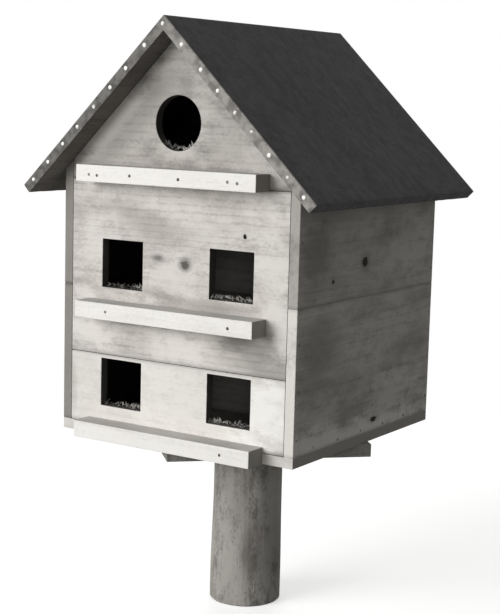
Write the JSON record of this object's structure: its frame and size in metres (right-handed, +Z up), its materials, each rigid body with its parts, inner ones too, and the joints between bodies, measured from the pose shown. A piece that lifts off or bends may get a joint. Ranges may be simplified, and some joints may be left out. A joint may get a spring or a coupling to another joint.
{
  "type": "purple martin birdhouse",
  "caption": "Gabled board birdhouse with square and round entrances over landing ledges, two storeys and an attic, set on a turned board and a pole.",
  "frame": {"origin": "centre of the pole's flat foot", "axes": "+Z up the pole, -Y out of the front of the house, +X to the right of the front"},
  "size_m": [0.4108, 0.398, 0.7284],
  "materials": {
    "weathered_pine": "weathered",
    "pale_pine": "planed",
    "ledge_pine": "planed",
    "roofing_felt": "matte",
    "pole_wood": "weathered"
  },
  "bodies": {
    "root": {"floor_board": "weathered_pine", "upper_floor": "weathered_pine", "attic_floor": "weathered_pine", "lower_inner_wall": "weathered_pine", "upper_inner_wall": "weathered_pine", "attic_inner_wall": "weathered_pine", "left_side_lower_board": "weathered_pine", "left_side_upper_board": "weathered_pine", "right_side_lower_board": "weathered_pine", "right_side_upper_board": "weathered_pine", "front_middle_board": "weathered_pine", "front_gable_board": "weathered_pine", "back_middle_board": "weathered_pine", "back_gable_board": "weathered_pine", "left_roof_upper_board": "weathered_pine", "left_roof_lower_board": "weathered_pine", "right_roof_upper_board": "weathered_pine", "right_roof_lower_board": "weathered_pine", "support_board": "weathered_pine", "front_lower_board": "pale_pine", "back_lower_board": "pale_pine", "front_lower_ledge": "ledge_pine", "front_middle_ledge": "ledge_pine", "front_top_ledge": "ledge_pine", "back_lower_ledge": "ledge_pine", "back_middle_ledge": "ledge_pine", "back_top_ledge": "ledge_pine", "roof_felt": "roofing_felt", "pole": "pole_wood"}
  },
  "joints": []
}
